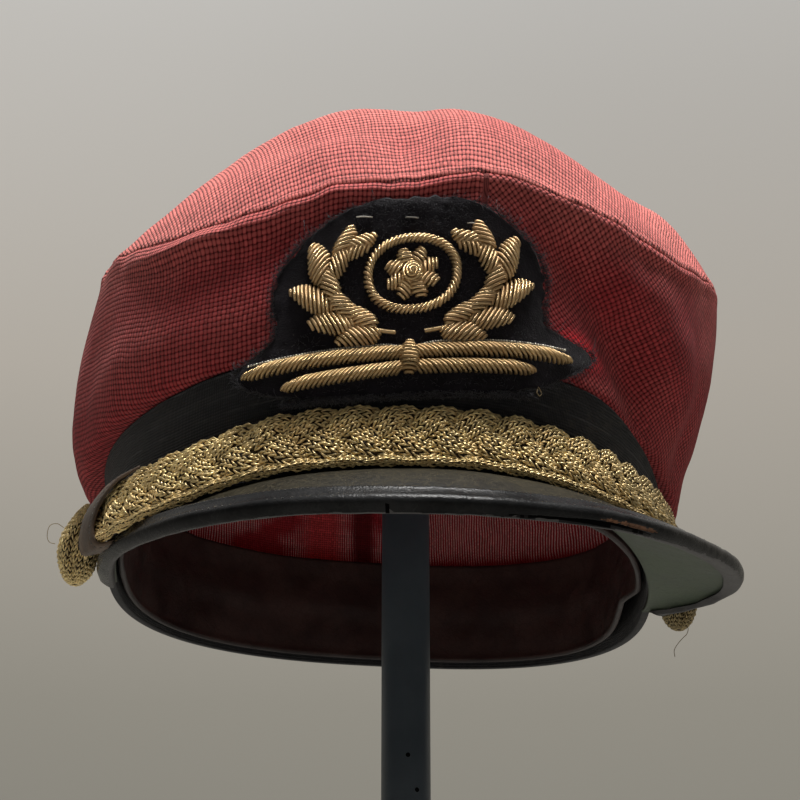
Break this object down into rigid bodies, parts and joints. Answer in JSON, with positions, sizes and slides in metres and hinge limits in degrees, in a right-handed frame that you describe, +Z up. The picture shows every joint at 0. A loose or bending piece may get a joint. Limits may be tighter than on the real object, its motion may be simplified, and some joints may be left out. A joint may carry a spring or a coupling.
{
  "type": "station master cap on a display stand",
  "caption": "Soft-crowned peaked railway cap of red cloth with a black band, gold braid and felt badge patch, held on a plain pole stand with a round base.",
  "frame": {"origin": "centre of the stand's underside, where the base meets the table", "axes": "+Z up along the pole, -Y to the front where the peak points, +X to the viewer's right"},
  "size_m": [0.2088, 0.2589, 0.3653],
  "materials": {
    "red_cloth": "coarse basket weave, faded",
    "black_ribbon": "ribbed ribbon",
    "brown_leather": "worn, matte",
    "patent_leather": "cracked gloss",
    "green_leather": "satin",
    "binding_leather": "satin, stitched",
    "gold_braid": "knitted metallic thread",
    "keeper_leather": "worn",
    "black_felt": "felt with frayed edges",
    "gold_bullion": "coiled bullion wire",
    "stand_paint": "satin, dark"
  },
  "bodies": {
    "root": {"crown_side": "red_cloth", "crown_top": "red_cloth", "cap_band": "black_ribbon", "sweatband": "brown_leather", "peak": "patent_leather", "peak_lining": "green_leather", "peak_binding": "binding_leather", "braid": "gold_braid", "keeper_left": "keeper_leather", "keeper_right": "keeper_leather", "braid_knob_left": "gold_braid", "braid_knob_right": "gold_braid", "badge_patch": "black_felt", "badge_wreath": "gold_bullion", "badge_boss": "gold_bullion", "badge_bar": "gold_bullion", "stand_base": "stand_paint", "stand_pole": "stand_paint", "stand_pad": "stand_paint"}
  },
  "joints": []
}
